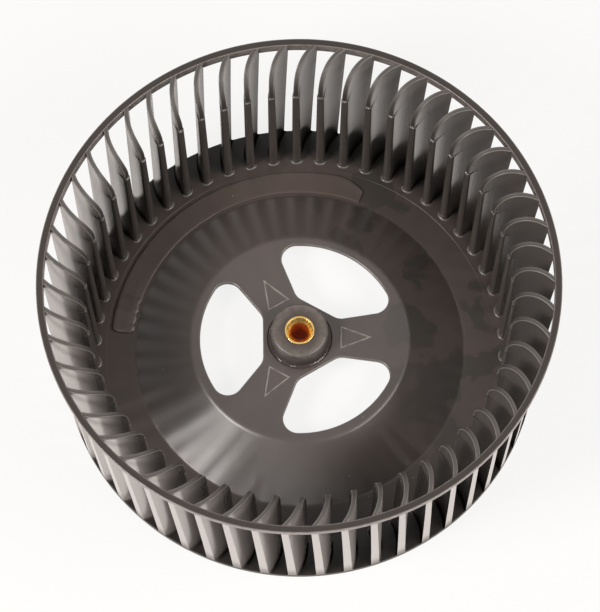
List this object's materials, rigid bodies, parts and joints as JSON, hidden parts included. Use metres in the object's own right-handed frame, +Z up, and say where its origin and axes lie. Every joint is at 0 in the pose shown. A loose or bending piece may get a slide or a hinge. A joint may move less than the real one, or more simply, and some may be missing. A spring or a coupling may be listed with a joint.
{
  "type": "range hood fan wheel",
  "caption": "Forward-curved centrifugal fan wheel for a range hood: a moulded drum of blades with a coned disc, a hub with a brass bush, and a balancing strip.",
  "frame": {"origin": "middle of the underside, on the shaft's axis", "axes": "+Z up the shaft towards the open inlet; one of the hub's three spokes lies along +X"},
  "size_m": [0.22, 0.22, 0.089],
  "materials": {
    "moulded_plastic": "satin warm dark grey, faint flow streaks",
    "brass": "turned, bright",
    "strip": "satin dark grey"
  },
  "bodies": {
    "root": {"wheel": "moulded_plastic", "bush": "brass", "balance_strip": "strip"}
  },
  "joints": []
}
